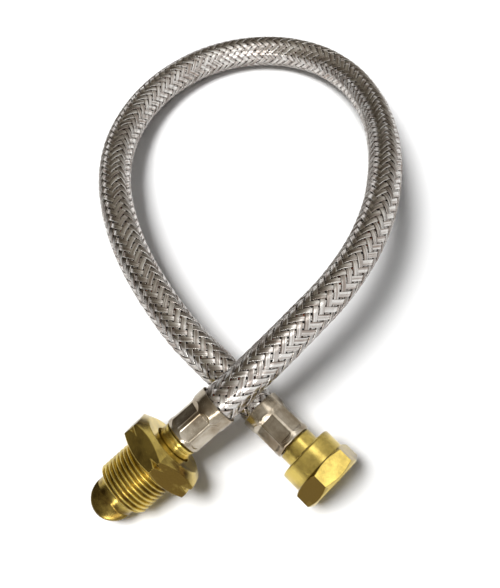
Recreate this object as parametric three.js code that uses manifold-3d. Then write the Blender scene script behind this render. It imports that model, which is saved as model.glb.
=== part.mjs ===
// Flexible gas hose with a braided sleeve, laid out in one loop.
// One end has a bull-nose spigot with a left-hand male nut.
// The other end has a flat-seat tail with a swivel female nut.
// Units are millimetres, +Z is up and the hose lies on the plane Z = 0.

import * as THREE from 'three';
import * as BufferGeometryUtils from 'three/addons/utils/BufferGeometryUtils.js';
import Module from 'manifold-3d';

const wasm = await Module();
wasm.setup();

// Named clearances
const TOUCH = 0.3;
const TURN = 0.3;

// Driving dimensions of the hose
const HOSE_OD = 15;
const BRAID_WALL = 0.75;
const LINER_WALL = 2.2;
const SLEEVE_GAP = 0.55;
const HOSE_SIDES = 12;
const HOSE_STEPS = 36;
const LINER_SIDES = 8;

// Driving dimensions of the crimped ends
const CRIMP_LENGTH = 18.7;
const BELL_WALL = 0.6;
const BELL_DEPTH = 4.6;
const BELL_STRAIGHT = 3.2;
const BELL_TAPER = 1.9;
const BARREL_OD = 15.9;
const BARREL_WALL = 1.25;
const FLAT_COUNT = 8;
const FLAT_DEPTH = 0.45;
const FLAT_START = 5.4;
const FLAT_LENGTH = 11.5;
const JAW_WIDTH = 7.2;
const LIP_THICKNESS = 1.1;
const CRIMPED_BRAID_WALL = 0.6;
const CRIMPED_LINER_WALL = 0.9;
const SQUEEZE_START = 3.4;
const SQUEEZE_LENGTH = 2.6;
const END_GAP = 1.4;
const INSIDE_BELL = 2.6;
const END_OVERLAP = 1;

// Driving dimensions of the brass tails
const BORE = 5;
const BARB_DEPTH = 0.6;
const BARB_COUNT = 3;
const STEM_TIP = 2.9;
const NECK_OD = 10.2;
const COLLAR_OD = 14.6;

// Driving dimensions of the bull-nose end
const NOSE_OD = 17.2;
const NOSE_REACH = 12.24;
const SHANK_OD = 12.8;
const MALE_NUT_ACROSS = 31;
const MALE_NUT_BACK_FACE = 26;
const MALE_NUT_FRONT_FACE = 30.2;
const MALE_HEX_HEIGHT = 9.8;
const MALE_COLLAR_SHOWN = 3.9;
const MALE_COLLAR_INSIDE = 5;
const MALE_RECESS_OD = 16.2;
const MALE_RECESS_DEPTH = 1.6;
const GROOVE_DEPTH = 1.5;
const GROOVE_HALF_WIDTH = 1.15;
const MALE_THREAD_LENGTH = 16.5;
const MALE_THREAD_OD = 22.91;
const MALE_THREAD_PITCH = 1.814;
const MALE_RIDGES = 8;
const OUTSIDE_THREAD_DEPTH = 0.64 * MALE_THREAD_PITCH;
const NOSE_SEAT_DEPTH = 4;
const NOSE_ROWS = 6;

// Driving dimensions of the flat-seat end
const FEMALE_NUT_ACROSS = 24;
const FEMALE_COLLAR_SHOWN = 5.2;
const FEMALE_NUT_LENGTH = 16;
const FEMALE_HEX_LENGTH = 8.3;
const FEMALE_HEX_BACK_FACE = 23.3;
const FEMALE_MOUTH_FACE = 22.6;
const FEMALE_BARREL_OD = 23.4;
const FEMALE_WEB = 3;
const FEMALE_THREAD_OD = 20;
const FEMALE_THREAD_PITCH = 1.5;
const FEMALE_RIDGES = 5;
const INSIDE_THREAD_DEPTH = 0.54 * FEMALE_THREAD_PITCH;
const SEAT_OD = 17.7;
const SEAT_THICKNESS = 2.4;
const WASHER_THICKNESS = 2;

// Number of flats that stand for a round surface
const ROUND_SIDES = 26;
const RIM_SIDES = 36;

// Where pieces meet along a fitting, from its bell mouth at Z = 0
const COLLAR_BACK = CRIMP_LENGTH + TOUCH;
const LIP_INSIDE = CRIMP_LENGTH - LIP_THICKNESS;
const MALE_NUT_BACK = COLLAR_BACK + MALE_COLLAR_SHOWN;
const FEMALE_NUT_BACK = COLLAR_BACK + FEMALE_COLLAR_SHOWN;

// Diameters that follow from the hose and the crimp
const BELL_OD = HOSE_OD + 2 * (TOUCH + BELL_WALL);
const BARREL_BORE = BARREL_OD - 2 * BARREL_WALL;
const CRIMPED_BRAID_OD = BARREL_BORE - 2 * TOUCH;
const CRIMPED_LINER_OD = CRIMPED_BRAID_OD - 2 * (CRIMPED_BRAID_WALL + TOUCH);
const CRIMPED_LINER_BORE = CRIMPED_LINER_OD - 2 * CRIMPED_LINER_WALL;
const BARB_OD = CRIMPED_LINER_BORE - 2 * TOUCH;
const BARB_ROOT = BARB_OD - 2 * BARB_DEPTH;

// Where both bell mouths are and which way each fitting points
const SHIFT = new THREE.Vector3(0.85, -185.41, 0);
const MALE_BELL = new THREE.Vector3(-11.46, 94.38, NOSE_OD / 2 + 19.93);
const MALE_SLOPE_DEG = -22.1;
const MALE_HEADING_DEG = 216.55;
const MALE_NUT_ROLL_DEG = 6;
const FEMALE_BELL = new THREE.Vector3(3.75, 97.72, FEMALE_NUT_ACROSS / 2 + 3.43);
const FEMALE_SLOPE_DEG = -5;
const FEMALE_HEADING_DEG = -45.02;
const STRAIGHT_LEAD = 11;

// The hand-laid route of the hose between the straight leads
const ROUTE = [
  [19.2, 122.2, 38.0], [33.7, 138.4, 39.2], [45.7, 157.2, 38.9], [54.0, 177.3, 37.3],
  [58.9, 198.0, 33.8], [61.6, 218.8, 28.4], [62.1, 239.5, 22.6], [59.5, 260.2, 17.3],
  [52.0, 280.0, 13.4], [38.2, 296.1, 10.7], [19.0, 305.4, 8.7], [-2.3, 306.3, 7.6],
  [-22.6, 299.3, 7.5], [-39.6, 286.2, 8.0], [-52.4, 268.9, 9.2], [-60.4, 249.1, 11.3],
  [-63.9, 228.0, 14.1], [-62.9, 206.5, 16.9], [-58.0, 185.4, 18.9], [-50.1, 165.1, 19.9],
  [-39.5, 146.2, 19.7], [-26.8, 128.6, 18.5],
];

const part = new THREE.Group();
part.name = 'flexible_gas_hose';

// Materials by look
const BRASS = { color: 0xc9a548, roughness: 0.3, metalness: 1 };
const DARK_BRASS = { color: 0xb08a3c, roughness: 0.28, metalness: 1 };
const NICKEL = { color: 0xb9b2a8, roughness: 0.2, metalness: 1 };
const STEEL_WIRE = { color: 0xa9a5a2, roughness: 0.4, metalness: 1 };
const BLACK_RUBBER = { color: 0x1b1b1c, roughness: 0.85, metalness: 0 };
const GREY_RUBBER = { color: 0x2c2c2e, roughness: 0.75, metalness: 0 };

// Turn a geometry into a solid body for cutting and joining
function toBody(geometry) {
  const plain = geometry.index ? geometry.toNonIndexed() : geometry.clone();
  plain.deleteAttribute('normal');
  plain.deleteAttribute('uv');
  const merged = BufferGeometryUtils.mergeVertices(plain, 1e-4);
  return new wasm.Manifold(new wasm.Mesh({
    numProp: 3,
    vertProperties: new Float32Array(merged.attributes.position.array),
    triVerts: new Uint32Array(merged.index.array),
  }));
}

// Turn a solid body back into a geometry
function toGeometry(body) {
  const mesh = body.getMesh();
  const geometry = new THREE.BufferGeometry();
  geometry.setAttribute('position', new THREE.BufferAttribute(new Float32Array(mesh.vertProperties), 3));
  geometry.setIndex(new THREE.BufferAttribute(new Uint32Array(mesh.triVerts), 1));
  return geometry;
}

// A turned ring or bar: a closed profile of [radius, height] revolved about Z
function turned(profile, sides = ROUND_SIDES) {
  const points = profile.map(([radius, height]) => new THREE.Vector2(radius, height));
  points.push(points[0].clone());
  const geometry = new THREE.LatheGeometry(points, sides);
  geometry.rotateX(Math.PI / 2);
  const body = toBody(geometry);
  if (body.volume() > 0) return body;
  return toBody(flipped(geometry));
}

// The same surface with its faces turned round
function flipped(geometry) {
  const copy = geometry.index ? geometry.toNonIndexed() : geometry.clone();
  const position = copy.attributes.position;
  for (let i = 0; i < position.count; i += 3) {
    const x = position.getX(i);
    const y = position.getY(i);
    const z = position.getZ(i);
    position.setXYZ(i, position.getX(i + 1), position.getY(i + 1), position.getZ(i + 1));
    position.setXYZ(i + 1, x, y, z);
  }
  return copy;
}

// A prism of regular outline along Z, with a flat facing +Y
function prism(sides, across, from, to) {
  const radius = across / 2 / Math.cos(Math.PI / sides);
  const outline = new THREE.Shape();
  for (let i = 0; i < sides; i += 1) {
    const angle = (2 * Math.PI * i) / sides;
    const x = radius * Math.cos(angle);
    const y = radius * Math.sin(angle);
    if (i === 0) outline.moveTo(x, y);
    else outline.lineTo(x, y);
  }
  outline.closePath();
  const geometry = new THREE.ExtrudeGeometry(outline, { depth: to - from, bevelEnabled: false });
  geometry.translate(0, 0, from);
  return toBody(geometry);
}

// Ridges of a thread as rings, from the crest and root radii
function threadProfile(crest, root, pitch, from, count) {
  const ridge = [];
  for (let i = 0; i < count; i += 1) {
    const start = from + i * pitch;
    ridge.push([root, start + 0.1 * pitch]);
    ridge.push([crest, start + 0.42 * pitch]);
    ridge.push([crest, start + 0.58 * pitch]);
    ridge.push([root, start + 0.9 * pitch]);
  }
  return ridge;
}

// A hexagon with each end turned off to a 30 degree cone outside its flat face
function chamferedHexagon(across, from, to, faceAtFrom, faceAtTo) {
  const outside = across / Math.sqrt(3) + 0.2;
  const drop = (face) => (outside - face / 2) * Math.tan(Math.PI / 6);
  return prism(6, across, from, to).intersect(turned([
    [0, from],
    [faceAtFrom / 2, from],
    [outside, from + drop(faceAtFrom)],
    [outside, to - drop(faceAtTo)],
    [faceAtTo / 2, to],
    [0, to],
  ], RIM_SIDES));
}

// Crimped sleeve that holds the hose on its tail, with the bell mouth at Z = 0
function makeFerrule() {
  const bell = BELL_OD / 2;
  const barrel = BARREL_OD / 2;
  const bellBore = HOSE_OD / 2 + TOUCH;
  const lipBore = NECK_OD / 2 + TOUCH;
  const sleeve = turned([
    [bellBore, 0],
    [bell - 0.35, 0],
    [bell, 0.4],
    [bell, BELL_STRAIGHT],
    [barrel + 0.3, FLAT_START - 0.5],
    [barrel, FLAT_START + 0.8],
    [barrel, CRIMP_LENGTH - 0.9],
    [barrel - 0.25, CRIMP_LENGTH - 0.3],
    [barrel - 0.9, CRIMP_LENGTH],
    [lipBore, CRIMP_LENGTH],
    [lipBore, LIP_INSIDE],
    [BARREL_BORE / 2, LIP_INSIDE],
    [BARREL_BORE / 2, BELL_DEPTH + BELL_TAPER],
    [bellBore, BELL_DEPTH],
  ]);
  const flatEnd = FLAT_START + FLAT_LENGTH;
  const jaw = new THREE.Shape();
  jaw.moveTo(barrel - FLAT_DEPTH, FLAT_START + FLAT_DEPTH);
  jaw.lineTo(bell + 1, FLAT_START - 1.4);
  jaw.lineTo(bell + 1, flatEnd + 1.4);
  jaw.lineTo(barrel - FLAT_DEPTH, flatEnd - FLAT_DEPTH);
  jaw.closePath();
  const blank = new THREE.ExtrudeGeometry(jaw, { depth: JAW_WIDTH, bevelEnabled: false });
  blank.translate(0, 0, -JAW_WIDTH / 2);
  blank.rotateX(Math.PI / 2);
  let ferrule = sleeve;
  for (let i = 0; i < FLAT_COUNT; i += 1) {
    const cutter = blank.clone();
    cutter.rotateZ((2 * Math.PI * (i + 0.5)) / FLAT_COUNT);
    ferrule = ferrule.subtract(toBody(cutter));
  }
  return ferrule;
}

// Barbed stem that grips the liner, from its tip up to the collar
function stemProfile() {
  const pitch = (LIP_INSIDE - STEM_TIP - 1.2) / BARB_COUNT;
  const profile = [[BORE / 2, STEM_TIP], [BARB_ROOT / 2 - 0.3, STEM_TIP]];
  for (let i = 0; i < BARB_COUNT; i += 1) {
    const start = STEM_TIP + i * pitch;
    profile.push([BARB_ROOT / 2, start + 0.4]);
    profile.push([BARB_OD / 2, start + pitch - 0.4]);
    profile.push([BARB_ROOT / 2, start + pitch - 0.2]);
  }
  profile.push([BARB_ROOT / 2, LIP_INSIDE - 0.8]);
  profile.push([NECK_OD / 2, LIP_INSIDE - 0.2]);
  profile.push([NECK_OD / 2, COLLAR_BACK]);
  return profile;
}

// One-piece spigot: barbed stem, collar, shank through the nut and bull nose
function makeBullNoseSpigot() {
  const nose = NOSE_OD / 2;
  const collar = COLLAR_OD / 2;
  const threadFront = MALE_NUT_BACK + MALE_HEX_HEIGHT + MALE_THREAD_LENGTH;
  const tip = threadFront + NOSE_REACH;
  const seat = threadFront - NOSE_SEAT_DEPTH;
  const profile = stemProfile();
  profile.push([collar - 0.3, COLLAR_BACK]);
  profile.push([collar, COLLAR_BACK + 0.3]);
  profile.push([collar, COLLAR_BACK + 1]);
  profile.push([collar - 0.35, COLLAR_BACK + 1.2]);
  profile.push([collar - 0.35, COLLAR_BACK + 1.5]);
  profile.push([collar, COLLAR_BACK + 1.7]);
  profile.push([collar, MALE_NUT_BACK + MALE_COLLAR_INSIDE]);
  profile.push([SHANK_OD / 2, MALE_NUT_BACK + MALE_COLLAR_INSIDE + 1]);
  profile.push([SHANK_OD / 2, seat + TOUCH]);
  profile.push([nose - 0.3, seat + TOUCH]);
  profile.push([nose, seat + TOUCH + 0.3]);
  const centre = tip - nose;
  for (let i = 0; i <= NOSE_ROWS; i += 1) {
    const angle = (i / NOSE_ROWS) * Math.acos((BORE / 2 + 0.6) / nose);
    profile.push([nose * Math.cos(angle), centre + nose * Math.sin(angle)]);
  }
  profile.push([BORE / 2, profile[profile.length - 1][1] - 0.9]);
  return turned(profile);
}

// Left-hand male nut that turns on the spigot
function makeMaleNut() {
  const hexFront = MALE_NUT_BACK + MALE_HEX_HEIGHT;
  const front = hexFront + MALE_THREAD_LENGTH;
  const crest = MALE_THREAD_OD / 2;
  const root = crest - OUTSIDE_THREAD_DEPTH;
  const firstRidge = front - 0.9 - MALE_RIDGES * MALE_THREAD_PITCH;
  const bore = COLLAR_OD / 2 + TURN;
  const seatBore = NOSE_OD / 2 + TURN;
  const threaded = turned([
    [0, hexFront - 1],
    [root, hexFront - 1],
    ...threadProfile(crest, root, MALE_THREAD_PITCH, firstRidge, MALE_RIDGES),
    [root - 0.1, front - 0.5],
    [root - 0.6, front],
    [0, front],
  ]);
  const bored = turned([
    [0, MALE_NUT_BACK - 1],
    [MALE_RECESS_OD / 2, MALE_NUT_BACK - 1],
    [MALE_RECESS_OD / 2, MALE_NUT_BACK + MALE_RECESS_DEPTH],
    [bore, MALE_NUT_BACK + MALE_RECESS_DEPTH + 0.5],
    [bore, front - NOSE_SEAT_DEPTH],
    [seatBore, front - NOSE_SEAT_DEPTH],
    [seatBore, front + 1],
    [0, front + 1],
  ]);
  const corner = MALE_NUT_ACROSS / Math.sqrt(3);
  const middle = MALE_NUT_BACK + MALE_HEX_HEIGHT / 2;
  const leftHandGroove = turned([
    [corner - GROOVE_DEPTH, middle],
    [corner + 0.3, middle + GROOVE_HALF_WIDTH],
    [corner + 0.3, middle - GROOVE_HALF_WIDTH],
  ], RIM_SIDES);
  return chamferedHexagon(MALE_NUT_ACROSS, MALE_NUT_BACK, hexFront, MALE_NUT_BACK_FACE, MALE_NUT_FRONT_FACE)
    .subtract(leftHandGroove)
    .add(threaded)
    .subtract(bored);
}

// Tail with the flat seat inside the swivel nut
function makeFlatSeatTail() {
  const collar = COLLAR_OD / 2;
  const seat = SEAT_OD / 2;
  const seatBack = FEMALE_NUT_BACK + FEMALE_WEB + TOUCH;
  const seatFront = seatBack + SEAT_THICKNESS;
  const profile = stemProfile();
  profile.push([collar - 0.3, COLLAR_BACK]);
  profile.push([collar, COLLAR_BACK + 0.3]);
  profile.push([collar, seatBack]);
  profile.push([seat, seatBack]);
  profile.push([seat, seatFront - 0.3]);
  profile.push([seat - 0.3, seatFront]);
  profile.push([BORE / 2, seatFront]);
  return turned(profile);
}

// Soft washer that seals the flat seat
function makeSealingWasher() {
  const from = FEMALE_NUT_BACK + FEMALE_WEB + TOUCH + SEAT_THICKNESS + TOUCH;
  return turned([
    [BORE / 2 + 0.6, from],
    [SEAT_OD / 2, from],
    [SEAT_OD / 2, from + WASHER_THICKNESS],
    [BORE / 2 + 0.6, from + WASHER_THICKNESS],
  ]);
}

// Swivel female nut: turned barrel, hexagon at the mouth and inside thread
function makeFemaleNut() {
  const back = FEMALE_NUT_BACK;
  const mouth = back + FEMALE_NUT_LENGTH;
  const hexBack = mouth - FEMALE_HEX_LENGTH;
  const barrel = FEMALE_BARREL_OD / 2;
  const root = FEMALE_THREAD_OD / 2;
  const crest = root - INSIDE_THREAD_DEPTH;
  const firstRidge = mouth - 0.9 - FEMALE_RIDGES * FEMALE_THREAD_PITCH;
  const bore = COLLAR_OD / 2 + TURN;
  const turnedBarrel = turned([
    [0, back],
    [barrel - 0.9, back],
    [barrel, back + 0.9],
    [barrel, hexBack + 1],
    [0, hexBack + 1],
  ]);
  const inside = turned([
    [0, back - 1],
    [bore, back - 1],
    [bore, back + FEMALE_WEB],
    [root, back + FEMALE_WEB],
    [root, firstRidge],
    ...threadProfile(crest, root, FEMALE_THREAD_PITCH, firstRidge, FEMALE_RIDGES),
    [root, mouth - 0.5],
    [root + 0.5, mouth],
    [root + 0.5, mouth + 1],
    [0, mouth + 1],
  ]);
  return chamferedHexagon(FEMALE_NUT_ACROSS, hexBack, mouth, FEMALE_HEX_BACK_FACE, FEMALE_MOUTH_FACE)
    .add(turnedBarrel)
    .subtract(inside);
}

// Frame of a fitting: local Z points from its bell mouth to its free end
function fittingFrame(bell, slopeDeg, headingDeg, rollDeg) {
  const slope = THREE.MathUtils.degToRad(slopeDeg);
  const heading = THREE.MathUtils.degToRad(headingDeg);
  const along = new THREE.Vector3(
    Math.cos(slope) * Math.cos(heading),
    Math.cos(slope) * Math.sin(heading),
    Math.sin(slope),
  );
  const side = new THREE.Vector3(Math.sin(heading), -Math.cos(heading), 0);
  const top = new THREE.Vector3().crossVectors(along, side);
  const frame = new THREE.Matrix4().makeBasis(side, top, along);
  frame.multiply(new THREE.Matrix4().makeRotationZ(THREE.MathUtils.degToRad(rollDeg)));
  frame.setPosition(bell.clone().add(SHIFT));
  return frame;
}

// Centre line of the hose from one bell to the other, starting inside both
function hoseLine(maleFrame, femaleFrame, inside) {
  const at = (frame, height) => new THREE.Vector3(0, 0, height).applyMatrix4(frame);
  const route = ROUTE.map(([x, y, z]) => new THREE.Vector3(x, y, z).add(SHIFT));
  return new THREE.CatmullRomCurve3([
    at(maleFrame, inside),
    at(maleFrame, inside - STRAIGHT_LEAD / 2),
    at(maleFrame, -STRAIGHT_LEAD),
    ...route,
    at(femaleFrame, -STRAIGHT_LEAD),
    at(femaleFrame, inside - STRAIGHT_LEAD / 2),
    at(femaleFrame, inside),
  ]);
}

// A tube along the hose with the crimped length turned at each end
function sweptTube(line, outer, bore, sides) {
  const ring = (radius, Kind) => {
    const outline = new Kind();
    for (let i = 0; i < sides; i += 1) {
      const angle = (2 * Math.PI * i) / sides;
      if (i === 0) outline.moveTo(radius, 0);
      else outline.lineTo(radius * Math.cos(angle), radius * Math.sin(angle));
    }
    outline.closePath();
    return outline;
  };
  const section = ring(outer, THREE.Shape);
  section.holes.push(ring(bore, THREE.Path));
  return toBody(new THREE.ExtrudeGeometry(section, {
    steps: HOSE_STEPS,
    extrudePath: line,
    bevelEnabled: false,
  }));
}

// End of the hose squeezed under the ferrule, in the fitting's frame
function squeezedEnd(runOuter, runBore, endOuter, endBore, sides) {
  const flat = Math.cos(Math.PI / sides);
  const start = INSIDE_BELL - END_OVERLAP;
  const squeezed = SQUEEZE_START + SQUEEZE_LENGTH;
  return turned([
    [runBore, start],
    [runOuter * flat, start],
    [runOuter * flat, SQUEEZE_START],
    [endOuter, squeezed],
    [endOuter, LIP_INSIDE - END_GAP],
    [endBore, LIP_INSIDE - END_GAP],
    [endBore, squeezed - 0.6],
    [runBore, SQUEEZE_START],
  ]);
}

// A body made in a fitting's frame, moved to its place
function placed(body, frame) {
  const geometry = toGeometry(body);
  geometry.applyMatrix4(frame);
  return toBody(geometry);
}

// Add one named piece to the part
function addPiece(name, body, look) {
  const mesh = new THREE.Mesh(toGeometry(body), new THREE.MeshStandardMaterial(look));
  mesh.name = name;
  part.add(mesh);
}

// Put the hose together
const maleFrame = fittingFrame(MALE_BELL, MALE_SLOPE_DEG, MALE_HEADING_DEG, 0);
const femaleFrame = fittingFrame(FEMALE_BELL, FEMALE_SLOPE_DEG, FEMALE_HEADING_DEG, 0);
const maleNutFrame = fittingFrame(MALE_BELL, MALE_SLOPE_DEG, MALE_HEADING_DEG, MALE_NUT_ROLL_DEG);

const line = hoseLine(maleFrame, femaleFrame, INSIDE_BELL);
const braid = { outer: HOSE_OD / 2, bore: HOSE_OD / 2 - BRAID_WALL };
const liner = { outer: braid.bore - SLEEVE_GAP, bore: braid.bore - SLEEVE_GAP - LINER_WALL };
const braidEnd = squeezedEnd(
  braid.outer,
  braid.bore,
  CRIMPED_BRAID_OD / 2,
  CRIMPED_LINER_OD / 2 + TOUCH,
  HOSE_SIDES,
);
const linerEnd = squeezedEnd(
  liner.outer,
  liner.bore,
  CRIMPED_LINER_OD / 2,
  CRIMPED_LINER_BORE / 2,
  LINER_SIDES,
);

addPiece('braid_sleeve', sweptTube(line, braid.outer, braid.bore, HOSE_SIDES)
  .add(placed(braidEnd, maleFrame))
  .add(placed(braidEnd, femaleFrame)), STEEL_WIRE);
addPiece('hose_liner', sweptTube(line, liner.outer, liner.bore, LINER_SIDES)
  .add(placed(linerEnd, maleFrame))
  .add(placed(linerEnd, femaleFrame)), BLACK_RUBBER);

addPiece('ferrule_male_end', placed(makeFerrule(), maleFrame), NICKEL);
addPiece('bull_nose_spigot', placed(makeBullNoseSpigot(), maleFrame), DARK_BRASS);
addPiece('male_nut', placed(makeMaleNut(), maleNutFrame), BRASS);

addPiece('ferrule_female_end', placed(makeFerrule(), femaleFrame), NICKEL);
addPiece('flat_seat_tail', placed(makeFlatSeatTail(), femaleFrame), BRASS);
addPiece('sealing_washer', placed(makeSealingWasher(), femaleFrame), GREY_RUBBER);
addPiece('female_nut', placed(makeFemaleNut(), femaleFrame), BRASS);

export default part;
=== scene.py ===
"""Looks of the flexible gas hose: woven wire sleeve, crimped ferrules and turned brass fittings.

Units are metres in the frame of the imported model. MM turns millimetres into metres.
Every surface is a grid worked out with numpy: a profile carried round an axis, or bands that
follow the hose.
"""

import math

import bpy
import numpy as np
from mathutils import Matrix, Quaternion, Vector


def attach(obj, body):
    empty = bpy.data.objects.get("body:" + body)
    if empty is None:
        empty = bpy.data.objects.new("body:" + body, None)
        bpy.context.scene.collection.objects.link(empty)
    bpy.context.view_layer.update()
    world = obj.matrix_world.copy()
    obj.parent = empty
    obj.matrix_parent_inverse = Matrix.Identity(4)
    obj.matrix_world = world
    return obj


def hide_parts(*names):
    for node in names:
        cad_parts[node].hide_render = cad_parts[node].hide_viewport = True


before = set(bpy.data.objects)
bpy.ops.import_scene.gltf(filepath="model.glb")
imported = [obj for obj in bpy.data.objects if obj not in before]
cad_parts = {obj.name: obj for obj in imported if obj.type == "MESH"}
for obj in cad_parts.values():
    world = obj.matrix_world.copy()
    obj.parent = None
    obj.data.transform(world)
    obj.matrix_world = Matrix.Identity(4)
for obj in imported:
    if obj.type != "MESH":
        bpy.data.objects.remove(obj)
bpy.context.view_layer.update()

MM = 0.001
TAU = 2 * math.pi
UV_LENGTH = 10 * MM

# Hose
HOSE_RADIUS = 7.5 * MM
RUBBER_RADIUS = 6.2 * MM
RUBBER_BORE = 4.0 * MM
HOSE_IN_BELL = 2.6 * MM
STRAIGHT_LEAD = 11 * MM
CARRIERS_EACH_WAY = 12
LAY_LENGTH = 49.2 * MM
WIRES_PER_BAND = 5
WIRE_RADIUS = 0.22 * MM
CROSSING_RISE = 0.28 * MM
STEPS_PER_CROSSING = 2.5
WAVE_PRESS = 1.3
BAND_DRIFT = 0.09 * MM
DRIFT_WAVES = (17 * MM, 7.3 * MM)
BAND_SEEDS = {1: 7, -1: 11}
TUBE_STATIONS, TUBE_ANGLES = 260, 40

# Crimped ferrule, measured from its bell mouth towards the free end
CRIMP_LENGTH = 18.7 * MM
BELL_RADIUS = 8.4 * MM
BELL_LENGTH = 3.2 * MM
BELL_BORE_RADIUS = 7.8 * MM
BELL_BORE_DEPTH = 4.6 * MM
CRIMP_BORE_RADIUS = 6.7 * MM
CRIMP_BORE_START = 6.5 * MM
BARREL_RADIUS = 7.95 * MM
FLAT_COUNT = 8
FLAT_DISTANCE = 7.5 * MM
FLAT_START = 5.4 * MM
FLAT_END = 16.9 * MM
FLAT_RAMP = 0.9 * MM
FLAT_RAMP_SLOPE = 0.45
FLAT_EDGE = 0.1 * MM
JAWS_REACH_IN_TO = 7.1 * MM
BURR_HEIGHT = 0.1 * MM
BURR_WIDTH = 0.1 * MM
LIP_THICKNESS = 1.1 * MM
FERRULE_ANGLES_PER_FLAT = 32

# Brass tails: a stem inside the hose, a neck in the ferrule's lip and a collar behind it
BORE_RADIUS = 2.5 * MM
STEM_RADIUS = 3.6 * MM
STEM_START = 2.9 * MM
STEM_END = 16.8 * MM
NECK_RADIUS = 5.1 * MM
NECK_START = 17.4 * MM
COLLAR_RADIUS = 7.3 * MM
TOUCH = 0.3 * MM
COLLAR_START = CRIMP_LENGTH + TOUCH
STEM_CORNERS = [
    (BORE_RADIUS, STEM_START), (STEM_RADIUS, STEM_START), (STEM_RADIUS, STEM_END),
    (NECK_RADIUS, NECK_START), (NECK_RADIUS, COLLAR_START), (COLLAR_RADIUS, COLLAR_START, 0.3 * MM),
]
TAIL_ANGLES = 96
TAIL_STEP = 0.6 * MM

# Nuts: hexagon edges, 30 degree chamfers and thread form
HEX_EDGE = 0.22 * MM
HEX_SPARE = 0.2 * MM
CHAMFER_SLOPE = math.tan(math.pi / 6)
PRESSED_FULLY = 0.12 * MM
THREAD_ROOT_SHARE, THREAD_FLANK_SHARE = 0.1, 0.72
NUT_ANGLES_PER_FLAT = 32
NUT_ROUNDING, NUT_STEP = 0.12 * MM, 0.17 * MM

# Bull-nose end
NOSE_RADIUS = 8.6 * MM
NOSE_REACH = 12.24 * MM
SHANK_RADIUS = 6.4 * MM
MALE_ACROSS = 31 * MM
MALE_BACK_RIM = 13 * MM
MALE_FRONT_RIM = 15.1 * MM
MALE_HEX_HEIGHT = 9.8 * MM
MALE_BACK = 22.9 * MM
MALE_COLLAR_INSIDE = 5 * MM
MALE_RECESS_RADIUS = 8.1 * MM
MALE_RECESS_DEPTH = 1.6 * MM
MALE_NOTCH_DEPTH = 1.75 * MM
MALE_NOTCH_HALF_WIDTH = 1.25 * MM
MALE_THREAD_LENGTH = 16.5 * MM
MALE_THREAD_RADIUS = 11.455 * MM
MALE_PITCH = 1.814 * MM
MALE_THREAD_DEPTH = 0.64 * MALE_PITCH
NOSE_SEAT_DEPTH = 4 * MM
MALE_ROLL_DEG = 6

# Flat-seat end
FEMALE_ACROSS = 24 * MM
FEMALE_BACK = 24.2 * MM
FEMALE_LENGTH = 16 * MM
FEMALE_HEX_LENGTH = 8.3 * MM
FEMALE_BACK_RIM = 11.65 * MM
FEMALE_MOUTH_RIM = 11.3 * MM
FEMALE_BARREL_RADIUS = 11.7 * MM
FEMALE_WEB = 3 * MM
FEMALE_THREAD_RADIUS = 10 * MM
FEMALE_PITCH = 1.5 * MM
FEMALE_THREAD_DEPTH = 0.54 * FEMALE_PITCH
FEMALE_THREAD_TURNS = 5
SEAT_RADIUS = 8.85 * MM
SEAT_THICKNESS = 2.4 * MM
WASHER_THICKNESS = 2 * MM
WASHER_ANGLES = 72

# Places of both bell mouths, and the route of the hose between its straight leads
SHIFT = np.array([0.85, -185.41, 0]) * MM
MALE_BELL = np.array([-11.46, 94.38, 28.53]) * MM + SHIFT
MALE_SLOPE_DEG, MALE_HEADING_DEG = -22.1, 216.55
FEMALE_BELL = np.array([3.75, 97.72, 15.43]) * MM + SHIFT
FEMALE_SLOPE_DEG, FEMALE_HEADING_DEG = -5, -45.02
ROUTE = np.array([
    [19.2, 122.2, 38.0], [33.7, 138.4, 39.2], [45.7, 157.2, 38.9], [54.0, 177.3, 37.3],
    [58.9, 198.0, 33.8], [61.6, 218.8, 28.4], [62.1, 239.5, 22.6], [59.5, 260.2, 17.3],
    [52.0, 280.0, 13.4], [38.2, 296.1, 10.7], [19.0, 305.4, 8.7], [-2.3, 306.3, 7.6],
    [-22.6, 299.3, 7.5], [-39.6, 286.2, 8.0], [-52.4, 268.9, 9.2], [-60.4, 249.1, 11.3],
    [-63.9, 228.0, 14.1], [-62.9, 206.5, 16.9], [-58.0, 185.4, 18.9], [-50.1, 165.1, 19.9],
    [-39.5, 146.2, 19.7], [-26.8, 128.6, 18.5],
]) * MM + SHIFT

# Camera of the photograph
CAMERA_PLACE = (0.00085, -0.18541, 0.2735)
CAMERA_TILT_DEG = 30
CAMERA_LENS_MM = 42.857

# Colours as they read in the photograph, in linear light
BRASS_YELLOW = (0.64, 0.49, 0.13)
# Dark brass: the brown of tarnish, and the painted shade that the nuts' flats, chamfers, thread roots
# and the nose take through the dull attribute
BRASS_TARNISH_AND_SHADE = (0.125, 0.078, 0.017)
NICKEL_LIGHT = (0.50, 0.45, 0.37)
NICKEL_WARM = (0.24, 0.19, 0.13)
STEEL_LIGHT = (0.76, 0.74, 0.71)
STEEL_WARM = (0.34, 0.285, 0.25)
STEEL_ROUGHNESS = (0.16, 0.36)
# Painted shade per flat of each nut, in order round the axis: a darker flat stands in for the dark
# surroundings that it reflects
MALE_FLAT_PAINTED_SHADE = (0.5, 0.7, 0.5, 0.9, 0.2, 0.5)
FEMALE_FLAT_PAINTED_SHADE = (0.5, 0.4, 0.6, 0.5, 0.05, 0.95)
RUBBER_BLACK = (0.012, 0.012, 0.013)
RUBBER_RUST = (0.22, 0.055, 0.02)
WASHER_BLACK = (0.02, 0.02, 0.022)
WASHER_BLOOM = (0.045, 0.045, 0.047)

# Turning marks on the metals
RING_SCALE = 60
TARNISH_SCALE = 90

# Share of darker brass: on the nose, oxide with painted shade; on a nut's chamfers and in its thread
# roots, painted shade
NOSE_OXIDE_AND_SHADE = 0.6
CHAMFER_PAINTED_SHADE = 0.5
THREAD_ROOT_PAINTED_SHADE = 0.5

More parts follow.
